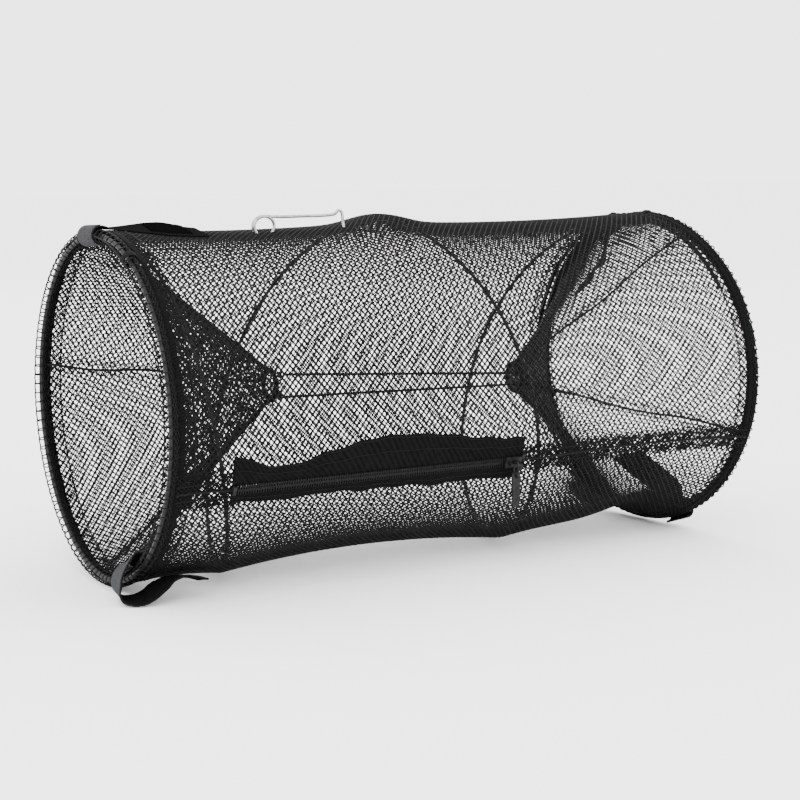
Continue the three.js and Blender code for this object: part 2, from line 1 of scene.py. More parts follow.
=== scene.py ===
"""Looks for a folding crab trap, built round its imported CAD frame.

Lengths are in millimetres and angles in degrees until a mesh is made, as in the CAD source. An angle
round the trap counts from the bottom: 90 is the near side (-Y), 180 the top and -90 the far side.
"""
import math
import bpy
import numpy as np
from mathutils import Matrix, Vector


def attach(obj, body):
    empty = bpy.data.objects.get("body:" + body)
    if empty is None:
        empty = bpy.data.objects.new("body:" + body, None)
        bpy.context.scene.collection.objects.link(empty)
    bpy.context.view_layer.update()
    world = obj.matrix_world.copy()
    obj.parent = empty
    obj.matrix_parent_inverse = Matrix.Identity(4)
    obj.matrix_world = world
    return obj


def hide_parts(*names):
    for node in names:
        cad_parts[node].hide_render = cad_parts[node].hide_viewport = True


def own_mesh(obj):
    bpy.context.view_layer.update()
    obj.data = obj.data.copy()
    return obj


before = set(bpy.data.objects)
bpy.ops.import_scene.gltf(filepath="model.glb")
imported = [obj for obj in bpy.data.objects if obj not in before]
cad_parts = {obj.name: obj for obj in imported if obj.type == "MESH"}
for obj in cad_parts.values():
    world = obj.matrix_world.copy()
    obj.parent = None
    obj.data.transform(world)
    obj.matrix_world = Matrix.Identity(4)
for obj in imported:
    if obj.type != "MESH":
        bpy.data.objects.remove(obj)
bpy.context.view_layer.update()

MM = 0.001

# ---- sizes, as in the CAD source
HOOP_RADIUS = 127.0
WIRE_RING = 122.0  # radius of the hoop wire's own line
TRAP_LENGTH = 475.0
HOOP_YAW = 6.6
COIL_RADIUS = 121.4
COIL_TURNS = 2.15
COIL_STATIONS = np.array([9, 31, 86, 155, 226, 285, 322, 388, 459, 476], float)  # at each quarter turn
NET_RADIUS = 124.8
NET_START = 3.6
NET_END_GAP = 3.8
NET_DIP_TOP = 3.0
NET_DIP_BOTTOM = 8.0
NET_DIP_SPAN = 230.0
NET_TUCK = 14.0
NET_TUCK_X = 430.0
COIL_LIFT = 6.0
COIL_LIFT_X = 226.0
SEAM_ANGLE = 70.0
ZIP_START = 44.0
ZIP_END = 277.0
SLIDER_X = 268.0
TAPE_RADIUS = 125.2
TAPE_EDGES = {  # degrees from the zipper's middle to each tape's outer edge, at even steps along it
    "upper": (10.8, 6.4, 10.6, 13.2, 12.4, 9.8, 8.0),
    "lower": (5.0, 5.3, 4.9, 5.2, 5.8, 6.0, 6.4),
}
THROAT_RADIUS = 11.0
THROATS = {"left": (132.0, 134.5), "right": (348.0, 126.0)}  # x and z of each throat's middle
FUNNEL_SEAMS = {"left": (-99.0, -4.0, 168.0), "right": (-60.0, 70.0, 158.0)}
CLIP_PLACE = np.array([121.5, -14.0, 252.3])


# ---- places
def around(x, angle, radius):
    """Points at `radius` from the trap's axis, `x` along it and `angle` round it."""
    a = np.radians(angle)
    parts = np.broadcast_arrays(x, -radius * np.sin(a), HOOP_RADIUS - radius * np.cos(a))
    return np.stack(parts, axis=-1).astype(float)


def outward(angle):
    """The direction straight out from the trap's axis at an angle."""
    return around(0.0, angle, 1.0) - np.array([0, 0, HOOP_RADIUS])


def unit(v):
    return v / np.maximum(np.linalg.norm(v, axis=-1, keepdims=True), 1e-9)


def yaw_offset(angle, radius=HOOP_RADIUS):
    """How far the right hoop's plane stands beyond the trap's length at an angle."""
    return math.tan(math.radians(HOOP_YAW)) * radius * np.sin(np.radians(angle))


def spline(p0, p1, p2, p3, t):
    """A smooth curve from p1 to p2, shaped by the points before and after; t runs from 0 to 1."""
    bend = 2 * p0 - 5 * p1 + 4 * p2 - p3
    twist = 3 * (p1 - p2) + p3 - p0
    return p1 + 0.5 * t * (p2 - p0 + t * (bend + t * twist))


def through_stations(values, position):
    """A smooth curve through values spaced evenly, read at positions counted in spacings."""
    i = np.clip(np.floor(position).astype(int), 0, len(values) - 2)
    near = (values[np.clip(i + k, 0, len(values) - 1)] for k in (-1, 0, 1, 2))
    return spline(*near, position - i)


def coil_x(turns):
    return through_stations(COIL_STATIONS, np.asarray(turns, float) * 4)


def coil_lift(x, angle):
    """How far the coil holds the netting up at a place, where it stands proud on top."""
    from_top = np.asarray(angle, float) % 360 - 180
    return COIL_LIFT * np.exp(-(((x - COIL_LIFT_X) / 26) ** 2) - (from_top / 36) ** 2)


def net_dip(x, angle):
    """How far the netting draws in at a place, between the wires on each side of it."""
    wrapped = (angle + 180) % 360 - 180
    wires = [np.zeros_like(x)]
    for loop in range(3):
        turns = (180 - wrapped) / 360 + loop
        wires.append(np.where(turns <= COIL_TURNS, coil_x(np.minimum(turns, COIL_TURNS)), np.inf))
    wires.append(TRAP_LENGTH + yaw_offset(angle))
    wires = np.stack(wires)
    low = np.where(wires <= x, wires, -np.inf).max(axis=0)
    high = np.where(wires > x, wires, np.inf).min(axis=0)
    low = np.where(np.isfinite(low), low, 0)
    high = np.where(np.isfinite(high), high, low + 1)
    share = np.clip((x - low) / np.maximum(high - low, 0.01), 0, 1)
    low_side = (1 + np.cos(np.radians(angle))) / 2
    deepest = NET_DIP_TOP + (NET_DIP_BOTTOM - NET_DIP_TOP) * low_side
    between = deepest * np.minimum(1, (high - low) / NET_DIP_SPAN) * 4 * share * (1 - share)
    tuck = NET_TUCK * np.exp(-(((x - NET_TUCK_X) / 30) ** 2) - (wrapped / 35) ** 2)
    return between + tuck * np.clip((high - x) / 15, 0, 1) - coil_lift(x, angle)


def at_hoop(side, along, y, z):
    """A point measured from the middle of an end hoop, in the trap; the right hoop stands off square."""
    along, y, z = np.broadcast_arrays(along, y, z)
    if side == "left":
        return np.stack([along, y, z], axis=-1)
    c, s = math.cos(math.radians(HOOP_YAW)), math.sin(math.radians(HOOP_YAW))
    return np.stack([TRAP_LENGTH + along * c - y * s, along * s + y * c, z], axis=-1)


def hoop_point(side, angle, along, out, across=0.0):
    """A point by an end hoop: along the trap, out from its axis, and across, at an angle round it."""
    a = math.radians(angle)
    y = -out * math.sin(a) + across * math.cos(a)
    z = HOOP_RADIUS - out * math.cos(a) - across * math.sin(a)
    return at_hoop(side, along, y, z)


def ring_point(side, major, minor, minor_radius):
    """A point on the tube round the hoop's wire. minor 0 is towards the netting, 90 straight out."""
    inward = 1 if side == "left" else -1
    a, m = np.radians(major), np.radians(minor)
    out = WIRE_RING + minor_radius * np.sin(m)
    return at_hoop(side, inward * minor_radius * np.cos(m), -out * np.sin(a), HOOP_RADIUS - out * np.cos(a))


def netting_end(side, angle, inset=0.0):
    """How far along the trap the netting ends at a hoop, or a line that lies `inset` in from there."""
    if side == "left":
        return NET_START + inset + np.zeros_like(angle)
    return TRAP_LENGTH + yaw_offset(angle) - NET_END_GAP - inset


def on_netting(x, angle, lift):
    """Points lifted off the line of the body's netting."""
    return around(x, angle, NET_RADIUS - net_dip(x, angle) + lift)


# ---- meshes
def new_object(name, data):
    made = bpy.data.objects.new(name, data)
    bpy.context.scene.collection.objects.link(made)
    return made


class Shape:
    """Vertices and faces gathered from bars, strips and strands before they become one piece."""

    def __init__(self):
        self.points, self.faces, self.uvs, self.count = [], [], [], 0

    def add(self, points, faces, uv=None):
        points = np.asarray(points, float).reshape(-1, 3)
        self.points.append(points)
        self.uvs.append(np.zeros((len(points), 2)) if uv is None else np.asarray(uv, float))
        self.faces += [np.asarray(f, int) + self.count for f in faces if len(f)]
        self.count += len(points)

    def piece(self, name, material, smooth=True):
        mesh = bpy.data.meshes.new(name)
        points = np.concatenate(self.points) * MM
        mesh.vertices.add(len(points))
        mesh.vertices.foreach_set("co", points.astype(np.float32).ravel())
        corners = np.concatenate([f.ravel() for f in self.faces])
        sizes = np.concatenate([np.full(len(f), f.shape[1]) for f in self.faces])
        starts = np.concatenate([[0], np.cumsum(sizes)[:-1]])
        mesh.loops.add(len(corners))
        mesh.loops.foreach_set("vertex_index", corners.astype(np.int32))
        mesh.polygons.add(len(sizes))
        mesh.polygons.foreach_set("loop_start", starts.astype(np.int32))
        mesh.polygons.foreach_set("use_smooth", np.full(len(sizes), smooth))
        uv = np.concatenate(self.uvs)[corners]
        mesh.uv_layers.new(name="Along").data.foreach_set("uv", uv.astype(np.float32).ravel())
        mesh.update(calc_edges=True)
        mesh.materials.append(material)
        return new_object(name, mesh)


def smooth_line(points, step, closed=False):
    """Points about `step` apart on a smooth curve through the given ones."""
    p = np.asarray(points, float)
    n = len(p)
    out = []
    for i in range(n if closed else n - 1):
        near = [(i + k) % n if closed else min(max(i + k, 0), n - 1) for k in (-1, 0, 1, 2)]
        pieces = max(1, int(np.ceil(np.linalg.norm(p[near[2]] - p[near[1]]) / step)))
        out.append(spline(*p[near], (np.arange(pieces) / pieces)[:, None]))
    if not closed:
        out.append(p[-1:])
    return np.concatenate(out)


def grid(rows, columns, closed_rows=False, closed_columns=False):
    """Four-cornered faces over rows of points, joined up where the rows or the columns go round."""
    last_row, last_column = rows - (not closed_rows), columns - (not closed_columns)
    i, j = np.meshgrid(np.arange(last_row), np.arange(last_column), indexing="ij")
    i2, j2 = (i + 1) % rows, (j + 1) % columns
    corners = [i * columns + j, i * columns + j2, i2 * columns + j2, i2 * columns + j]
    return np.stack(corners, axis=-1).reshape(-1, 4)


def end_caps(rows, columns):
    """The two faces that close a tube of points."""
    ring = np.arange(columns)
    return [ring[::-1][None], (ring + (rows - 1) * columns)[None]]


def run_along(path):
    """How far along a path each of its points lies."""
    return np.concatenate([[0], np.cumsum(np.linalg.norm(np.diff(path, axis=0), axis=1))])


def bar(shape, path, radius, sides=8, closed=False):
    """A round bar along a path, added to a shape; radius is a number or one for each point."""
    path = np.asarray(path, float)
    n = len(path)
    step = np.roll(path, -1, axis=0) - np.roll(path, 1, axis=0) if closed else np.gradient(path, axis=0)
    tangent = unit(step)
    helper = np.array([0.0, 0, 1]) if abs(tangent[0][2]) < 0.9 else np.array([0.0, 1, 0])
    normal = unit(np.cross(tangent[0], helper))
    normals = []
    for t in tangent:
        normal = unit(normal - t * normal.dot(t))
        normals.append(normal)
    normals = np.array(normals)
    binormals = np.cross(tangent, normals)
    if closed:
        carried = unit(normals[-1] - tangent[0] * normals[-1].dot(tangent[0]))
        twist = math.atan2(carried.dot(binormals[0]), carried.dot(normals[0]))
        turn = -twist * np.arange(n) / n
        c, s = np.cos(turn)[:, None], np.sin(turn)[:, None]
        normals, binormals = normals * c + binormals * s, binormals * c - normals * s
    a = 2 * np.pi * np.arange(sides) / sides
    r = np.broadcast_to(radius, (n,))[:, None, None]
    ring = np.cos(a)[None, :, None] * normals[:, None] + np.sin(a)[None, :, None] * binormals[:, None]
    points = path[:, None] + r * ring
    faces = [grid(n, sides, closed, True)] + ([] if closed else end_caps(n, sides))
    uv = np.stack([np.repeat(run_along(path), sides) * 0.1, np.tile(a / (2 * np.pi), n)], axis=-1)
    shape.add(points, faces, uv)
    return shape


def strands(shape, path, normal, valid, radius, sides=3):
    """Thin strands of netting: path and normal hold a row for each, and valid marks the steps that exist."""
    along = unit(np.gradient(path, axis=1))
    side = unit(np.cross(along, normal))
    normal = unit(np.cross(side, along))
    a = 2 * np.pi * np.arange(sides) / sides
    ring = np.cos(a)[:, None] * normal[..., None, :] + np.sin(a)[:, None] * side[..., None, :]
    points = (path[..., None, :] + radius * ring).reshape(-1, 3)
    s, n = valid.shape[0], path.shape[1]
    base = (np.arange(s)[:, None] * n + np.arange(n)[None]) * sides
    lo, hi = base[:, :-1][valid], base[:, 1:][valid]
    turns = [(j, (j + 1) % sides) for j in range(sides)]
    quads = np.concatenate([np.stack([lo + j, lo + k, hi + k, hi + j], axis=-1) for j, k in turns])
    none = np.zeros((s, 1), bool)
    starts = valid & ~np.concatenate([none, valid[:, :-1]], axis=1)
    ends = valid & ~np.concatenate([valid[:, 1:], none], axis=1)
    first, last = base[:, :-1][starts], base[:, 1:][ends]
    round_end = np.arange(sides)
    caps = np.concatenate([first[:, None] + round_end[::-1], last[:, None] + round_end])
    used, where = np.unique(np.concatenate([quads.ravel(), caps.ravel()]), return_inverse=True)
    shape.add(points[used], [where[: quads.size].reshape(-1, 4), where[quads.size:].reshape(-1, sides)])


def knots(shape, places, normal, along, size):
    """A small eight-faced knot at each place, longest along the netting's own direction."""
    across = np.cross(normal, along)
    arms = np.stack([along * size * 1.5, across * size, normal * size * 0.9], axis=-2)
    points = np.concatenate([places[:, None] + arms, places[:, None] - arms], axis=1)
    corners = [(0, 1, 2), (1, 3, 2), (3, 4, 2), (4, 0, 2), (1, 0, 5), (3, 1, 5), (4, 3, 5), (0, 4, 5)]
    first = np.arange(len(places))[:, None, None] * 6
    shape.add(points, [(first + np.array(corners)[None]).reshape(-1, 3)])


def strip(shape, middle, out, across, width, thickness, rounding=0.35):
    """A flat strap along `middle`, with its own out and across directions at each point."""
    half, flat = width / 2, width / 2 - rounding
    low, high = rounding * 0.4, thickness - rounding * 0.4
    lanes = np.linspace(-flat, flat, 4)
    section = [(lane, 0) for lane in lanes] + [(half, low), (half, high)]
    section += [(lane, thickness) for lane in lanes[::-1]] + [(-half, high), (-half, low)]
    section = np.array(section)
    n, m = len(middle), len(section)
    points = middle[:, None] + section[None, :, :1] * across[:, None] + section[None, :, 1:] * out[:, None]
    uv = np.stack([np.repeat(run_along(middle), m) * 0.1, np.tile(section[:, 0], n) * 0.1], axis=-1)
    shape.add(points, [grid(n, m, closed_columns=True)] + end_caps(n, m), uv)


def band(shape, section):
    """A closed band all round the trap; section holds one ring of points for each corner of its outline."""
    points = np.stack(section, axis=1)
    n, m = points.shape[:2]
    uv = np.stack([np.repeat(np.arange(n) * 0.32, m), np.tile(np.arange(m) * 0.12, n)], axis=-1)
    shape.add(points, [grid(n, m, True, True)], uv)


# ---- materials
class Nodes:
    """A node material being put together: a Principled surface and what feeds it."""

    def __init__(self, name, color, roughness, metallic=0.0, specular=0.5):
        self.material = bpy.data.materials.new(name)
        self.material.use_nodes = True
        self.tree = self.material.node_tree
        self.surface = self.tree.nodes["Principled BSDF"]
        plain = {"Base Color": (*color, 1), "Roughness": roughness, "Metallic": metallic,
                 "Specular IOR Level": specular}
        for key, value in plain.items():
            self.surface.inputs[key].default_value = value
        self.coords = self.tree.nodes.new("ShaderNodeTexCoord")

    def node(self, kind, inputs, **settings):
        made = self.tree.nodes.new(kind)
        for key, value in settings.items():
            setattr(made, key, value)
        for key, value in inputs.items():
            if isinstance(value, bpy.types.NodeSocket):
                self.tree.links.new(value, made.inputs[key])
            else:
                made.inputs[key].default_value = value
        return made

    def noise(self, scale, detail=3.0, stretch=(1, 1, 1)):
        mapping = self.node("ShaderNodeMapping", {"Vector": self.coords.outputs["Object"], "Scale": stretch})
        inputs = {"Vector": mapping.outputs[0], "Scale": scale, "Detail": detail}
        return self.node("ShaderNodeTexNoise", inputs).outputs["Fac"]

    def wave(self, scale, direction, distortion=0.0):
        inputs = {"Vector": self.coords.outputs["UV"], "Scale": scale, "Distortion": distortion}
        return self.node("ShaderNodeTexWave", inputs, bands_direction=direction).outputs["Fac"]

    def maths(self, kind, a, b):
        return self.node("ShaderNodeMath", {0: a, 1: b}, operation=kind).outputs[0]

    def color(self, factor, dark, light, low=0.3, high=0.7):
        ramp = self.node("ShaderNodeValToRGB", {"Fac": factor})
        for element, place, shade in zip(ramp.color_ramp.elements, (low, high), (dark, light)):
            element.position, element.color = place, (*shade, 1)
        self.tree.links.new(ramp.outputs[0], self.surface.inputs["Base Color"])

    def rough(self, factor, low, high):
        spread = self.node("ShaderNodeMapRange", {"Value": factor, "To Min": low, "To Max": high})
        self.tree.links.new(spread.outputs[0], self.surface.inputs["Roughness"])

    def bump(self, height, strength, distance):
        inputs = {"Height": height, "Strength": strength, "Distance": distance}
        made = self.node("ShaderNodeBump", inputs)
        self.tree.links.new(made.outputs[0], self.surface.inputs["Normal"])


def gray(value):
    return (value, value * 1.01, value * 1.06)


def netting_material():
    m = Nodes("netting_twine", gray(0.004), 0.65, specular=0.07)
    m.color(m.noise(420.0), gray(0.002), gray(0.007))
    m.rough(m.noise(900.0), 0.5, 0.7)
    return m.material


def cord_material():
    m = Nodes("cord_braid", gray(0.004), 0.65, specular=0.07)
    braid = m.wave(2.2, "DIAGONAL")
    m.color(braid, gray(0.002), gray(0.008), 0.2, 0.8)
    m.bump(braid, 0.6, 0.0003)
    return m.material


def steel_material():
    m = Nodes("coated_spring_wire", gray(0.005), 0.45, specular=0.2)
    m.color(m.noise(160.0), gray(0.003), gray(0.009))
    m.rough(m.noise(700.0), 0.35, 0.55)
    m.bump(m.noise(1500.0), 0.15, 0.0002)
    return m.material


def webbing_material():
    m = Nodes("strap_webbing", gray(0.003), 0.95, specular=0.0)
    warp, weft = m.wave(2.9, "Y"), m.wave(2.4, "X")
    weave = m.maths("MULTIPLY", warp, weft)
    mixed = m.maths("ADD", weave, m.maths("MULTIPLY", m.noise(600.0), 0.6))
    m.color(mixed, gray(0.002), gray(0.012), 0.25, 1.1)
    m.bump(weave, 0.9, 0.0004)
    return m.material


def pile_material():
    m = Nodes("looped_pile", gray(0.035), 0.95, specular=0.1)
    fuzz = m.noise(1400.0, 6.0)
    m.color(fuzz, gray(0.01), gray(0.05))
    m.bump(fuzz, 1.0, 0.0008)
    return m.material


def hooks_material():
    m = Nodes("moulded_hooks", gray(0.003), 0.9, specular=0.0)
    rows = m.maths("MULTIPLY", m.wave(6.5, "X"), m.wave(6.5, "Y"))
    m.color(rows, gray(0.002), gray(0.012), 0.2, 0.9)
    m.bump(rows, 1.0, 0.0006)
    return m.material


def tape_material():
    m = Nodes("zipper_tape_weave", gray(0.003), 0.9, specular=0.04)
    rib = m.wave(3.2, "X", 0.6)
    twill = m.wave(1.4, "DIAGONAL", 0.4)
    weave = m.maths("MULTIPLY", rib, twill)
    mixed = m.maths("ADD", weave, m.maths("MULTIPLY", m.noise(260.0), 0.8))
    m.color(mixed, gray(0.001), gray(0.005), 0.3, 1.3)
    m.bump(weave, 0.7, 0.0003)
    return m.material


def teeth_material():
    m = Nodes("zipper_teeth_plastic", gray(0.002), 0.55, specular=0.1)
    m.color(m.noise(500.0), gray(0.001), gray(0.004))
    m.rough(m.noise(900.0), 0.4, 0.6)
    return m.material


def enamel_material():
    m = Nodes("black_enamelled_zinc", gray(0.006), 0.45, metallic=0.2, specular=0.15)
    m.color(m.noise(350.0), gray(0.003), gray(0.012), 0.35, 0.75)
    m.rough(m.noise(800.0), 0.35, 0.6)
    m.bump(m.noise(1200.0), 0.12, 0.0002)
    return m.material


def bright_material():
    m = Nodes("drawn_bright_wire", (0.3, 0.3, 0.31), 0.25, metallic=1.0)
    m.color(m.noise(220.0), (0.16, 0.165, 0.17), (0.42, 0.42, 0.43))
    m.rough(m.noise(900.0, stretch=(0.1, 1, 1)), 0.16, 0.38)
    return m.material


TWINE, CORD, STEEL = netting_material(), cord_material(), steel_material()
WEBBING, PILE, HOOKS = webbing_material(), pile_material(), hooks_material()
TAPE, TEETH, ENAMEL, BRIGHT = tape_material(), teeth_material(), enamel_material(), bright_material()


def rigid(piece, body, slot, *nodes):
    """A piece that moves with one body and stands for the CAD nodes named."""
    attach(piece, body)
    if nodes:
        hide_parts(*nodes)
    return piece


def soft(piece, slot, *nodes):
    """A piece that moves with the left end and gets a mesh of its own."""
    rigid(piece, "end_left", slot, *nodes)
    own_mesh(piece)
    return piece


# ---- camera
CAMERA_PLACE = (-518.1, -1313.3, 337.2)
CAMERA_LENS = 90.0
AIM_RIGHT = 4.85
AIM_DOWN = 11.2


def add_camera():
    data = bpy.data.cameras.new("camera")
    data.lens, data.sensor_width = CAMERA_LENS, 36.0
    data.clip_start, data.clip_end = 0.05, 60.0
    camera = new_object("camera", data)
    place = Vector(CAMERA_PLACE) * MM
    middle = Vector((TRAP_LENGTH / 2 - 0.1, 0, HOOP_RADIUS)) * MM
    forward = (middle - place).normalized()
    right = forward.cross(Vector((0, 0, 1))).normalized()
    up = right.cross(forward)
    aim = middle + right * AIM_RIGHT * MM - up * AIM_DOWN * MM
    camera.location = place
    camera.rotation_euler = (aim - place).to_track_quat("-Z", "Y").to_euler()
    bpy.context.scene.camera = camera


add_camera()

# ---- throat cords and knots
CORD_RADIUS = 1.0
KNOT_OFF = 4.75  # from a throat's middle to its knots' middles
KNOT_SIZE = 2.3
KNOT_HALF = 2.6


def throat_place(side, angle, towards_middle):
    x, z = THROATS[side]
    a = math.radians(angle)
    return np.array([x + towards_middle, -THROAT_RADIUS * math.sin(a), z - THROAT_RADIUS * math.cos(a)])


def knot(middle, size):
    """An overhand knot of cord round a line."""
    t = 2 * np.pi * np.arange(48) / 48
    loop = np.stack([np.sin(3 * t), np.sin(t) + 2 * np.sin(2 * t), np.cos(t) - 2 * np.cos(2 * t)], axis=-1)
    return bar(Shape(), middle + loop * size / 3.4, size * 0.38, 8, closed=True)


def throat_cord(name, left_angle, right_angle):
    left = throat_place("left", left_angle, KNOT_OFF)
    right = throat_place("right", right_angle, -KNOT_OFF)
    along = unit(right - left)
    start, end = left + along * KNOT_HALF, right - along * KNOT_HALF
    path = start + (end - start) * np.linspace(0, 1, 60)[:, None]
    cord = soft(bar(Shape(), path, CORD_RADIUS, 10).piece(name + "_line", CORD), "cord", name)
    for side, middle in (("left", left), ("right", right)):
        node = f"{name}_knot_{side}"
        rigid(knot(middle, KNOT_SIZE).piece(node + "_tied", CORD), "throat_" + side, "cord", node)


throat_cord("throat_cord_upper", 140.0, 115.0)
throat_cord("throat_cord_lower", 40.0, 68.0)

# ---- netting of the body
STRAND_RADIUS = 0.56
KNOT_LENGTH = 0.85
CELL_ALONG = 4.8
CELL_ROUND = 5.8
SLIT_HALF_ANGLE = 4.6
PANELS = 4


def net_point(u, angle):
    """A point of the body's netting. u runs from the left hoop, 0, to the right one, 1."""
    x = NET_START + u * (netting_end("right", angle) - NET_START)
    loose = 4 * u * (1 - u)
    a = np.radians(angle)
    x = x + loose * (0.9 * np.sin(3 * a + x / 37) + 0.5 * np.sin(7 * a - x / 19))
    turned = angle + loose * (0.35 * np.sin(x / 41 + 2 * a) + 0.2 * np.sin(x / 17 - 5 * a))
    return around(x, turned, NET_RADIUS - net_dip(x, angle)), x


def body_netting():
    """Strands of both hands that spiral round the trap and knot where they cross, in four panels."""
    along = int(TRAP_LENGTH / CELL_ALONG)
    round_ = int(2 * math.pi * NET_RADIUS / CELL_ROUND)
    i = np.arange(2 * along + 1)
    k = np.arange(round_)
    u = np.broadcast_to(i / (2 * along), (round_, len(i)))
    for panel in range(PANELS):
        shape = Shape()
        for hand in (1, -1):
            angle = (k[:, None] + hand * i[None] / 2) * 360 / round_
            path, x = net_point(u, angle)
            middle = ((angle[:, 1:] + angle[:, :-1]) / 2) % 360
            from_seam = np.abs((middle - SEAM_ANGLE + 180) % 360 - 180)
            in_slit = (from_seam < SLIT_HALF_ANGLE) & (x[:, 1:] > ZIP_START) & (x[:, 1:] < ZIP_END)
            valid = (np.floor(middle / (360 / PANELS)).astype(int) == panel) & ~in_slit
            strands(shape, path, outward(angle), valid, STRAND_RADIUS, 4)
            if hand == 1:
                there, out = path[:, 1:][valid], outward(angle)[:, 1:][valid]
                knots(shape, there, out, np.broadcast_to([1.0, 0, 0], out.shape), KNOT_LENGTH)
        name = f"body_netting_panel_{panel + 1}"
        soft(shape.piece(name, TWINE), "netting", *(["body_netting"] if panel == 0 else []))


body_netting()


def net_band(shape, angle_from, angle_to, x_from, x_to, lift, cell, radius):
    """A second layer of netting over part of the body's."""
    width = math.radians(angle_to - angle_from) * NET_RADIUS
    across = max(1, round(width / cell))
    along = max(2, round((x_to - x_from) / cell))
    i, k = np.arange(2 * along + 1), np.arange(-along, across + along + 1)
    for hand in (1, -1):
        column = k[:, None] + hand * i[None] / 2
        angle = angle_from + column * (angle_to - angle_from) / across
        x = np.broadcast_to(x_from + (x_to - x_from) * i / (2 * along), angle.shape)
        middle = (column[:, 1:] + column[:, :-1]) / 2
        strands(shape, on_netting(x, angle, lift), outward(angle), (middle > 0) & (middle < across), radius)


# ---- end hoops
RIM = np.arange(0, 360, 0.75)  # angles of a fine line all round
HOOP_WIRE = 2.1
HEM_NET_RADIUS = 4.2
FOLD_OUTSIDE = 4.0
FOLD_INSIDE = 3.2
FOLD_REACH = 94.0  # how far round the wire the fold goes, to each side of the netting
LACE_LOOPS = 110
LACE_FOOT = 4.3
LACE_REACH = 5.3
HEM_STITCHES = 110
BORDER_WIDTH = 12.0
BORDER_LIFT = 0.5
BORDER_STRAND = 0.36
BORDER_CELLS = {"left": 178, "right": 170}
TIE_TURNS = 4


def hoop_body(side):
    return "end_left" if side == "left" else "hoop_right"


def hoop_wire(side):
    shape = bar(Shape(), ring_point(side, np.arange(0, 360, 2.5), 0.0, 0.0), HOOP_WIRE, 12, closed=True)
    rigid(shape.piece(f"hoop_wire_{side}", STEEL), hoop_body(side), "spring_steel", f"end_hoop_{side}")


def hem_fold(side):
    """The tape folded round the wire."""
    wave = 1 + 0.03 * np.sin(np.radians(RIM * 31)) + 0.02 * np.sin(np.radians(RIM * 80))
    reach = np.linspace(-FOLD_REACH, FOLD_REACH, 15)
    section = [ring_point(side, RIM, minor, FOLD_OUTSIDE * wave) for minor in reach]
    section += [ring_point(side, RIM, minor, FOLD_INSIDE * wave) for minor in reach[::-1]]
    shape = Shape()
    band(shape, section)
    rigid(shape.piece(f"hem_fold_{side}", TAPE), hoop_body(side), "hem", f"hem_{side}")


def hem_netting(shape, side):
    """Netting pulled tight over the fold."""
    cells_major, cells_minor = 150, 6
    i, k = np.arange(2 * cells_minor + 1), np.arange(cells_major)
    for hand in (1, -1):
        minor = np.broadcast_to(FOLD_REACH * (i / cells_minor - 1), (cells_major, len(i)))
        major = (k[:, None] + hand * i[None] / 2) * 360 / cells_major
        path = ring_point(side, major, minor, HEM_NET_RADIUS * (1 + 0.04 * np.sin(np.radians(major * 9))))
        normal = unit(path - ring_point(side, major, minor, 0.0))
        strands(shape, path, normal, np.ones((cells_major, len(i) - 1), bool), 0.4, 4)


def lacing(shape, side):
    """An open row of loops beyond the fold, drawn to a cord along the rim."""
    edge = np.arange(0, 360, 0.5)
    slack = 0.18 * np.sin(np.radians(edge * LACE_LOOPS))
    bar(shape, ring_point(side, edge, 180.0, LACE_REACH + slack), 0.55, 6, closed=True)
    foot = FOLD_REACH - 8
    minor = np.linspace(foot, 360 - foot, 15)
    reach = LACE_FOOT + (LACE_REACH - LACE_FOOT) * np.sin(np.linspace(0, np.pi, 15)) ** 2
    for loop in range(LACE_LOOPS):
        major = loop * 360 / LACE_LOOPS + 0.25 * np.sin(np.radians(minor))
        bar(shape, ring_point(side, major, minor, reach), 0.5, 5)


def hem_sleeve(side):
    shape = Shape()
    hem_netting(shape, side)
    lacing(shape, side)
    rigid(shape.piece(f"hem_sleeve_{side}", TWINE), hoop_body(side), "hem")


def hem_stitches(side):
    """The running stitches that close the hem, over and under the netting."""
    shape = Shape()
    t = np.arange(HEM_STITCHES * 6)
    major = t * 360 / len(t)
    wave = np.sin(2 * np.pi * t / 6)
    for minor in (38.0, -38.0):
        path = ring_point(side, major, minor + 3 * wave, 4.75 + 0.25 * wave)
        bar(shape, path, 0.36, 5, closed=True)
    rigid(shape.piece(f"hem_stitches_{side}", CORD), hoop_body(side), "cord")


def border_netting(side):
    """The hem's doubled edge on the body's netting."""
    count = BORDER_CELLS[side]
    i, k = np.arange(7), np.arange(count)
    shape = Shape()
    for hand in (1, -1):
        angle = (k[:, None] + hand * i[None] / 2) * 360 / count
        path = on_netting(netting_end(side, angle, BORDER_WIDTH * (1 - i[None] / 6)), angle, BORDER_LIFT)
        strands(shape, path, outward(angle), np.ones((count, 6), bool), BORDER_STRAND)
    soft(shape.piece(f"hem_border_{side}", TWINE), "hem")


def border_stitch(side):
    """The line of stitches along the doubled edge."""
    wave = 0.35 * np.sin(np.arange(len(RIM)) * np.pi / 2)
    edge = netting_end(side, RIM, BORDER_WIDTH)
    shape = bar(Shape(), on_netting(edge, RIM, BORDER_LIFT + wave), 0.55, 6, closed=True)
    soft(shape.piece(f"hem_border_stitch_{side}", CORD), "cord")


def hem_band(side):
    """The tape's flat edge, on the netting beside the fold."""
    section = []
    for inset, lift in ((0.2, 0.2), (2.0, 0.15), (4.4, 0.15), (4.4, 0.95), (2.0, 1.05), (0.2, 1.0)):
        ragged = 0.25 * np.sin(np.radians(RIM * 37)) * (inset > 4)
        section.append(on_netting(netting_end(side, RIM, inset) + ragged, RIM, lift))
    shape = Shape()
    band(shape, section if side == "left" else section[::-1])
    soft(shape.piece(f"hem_band_{side}", TAPE), "hem")


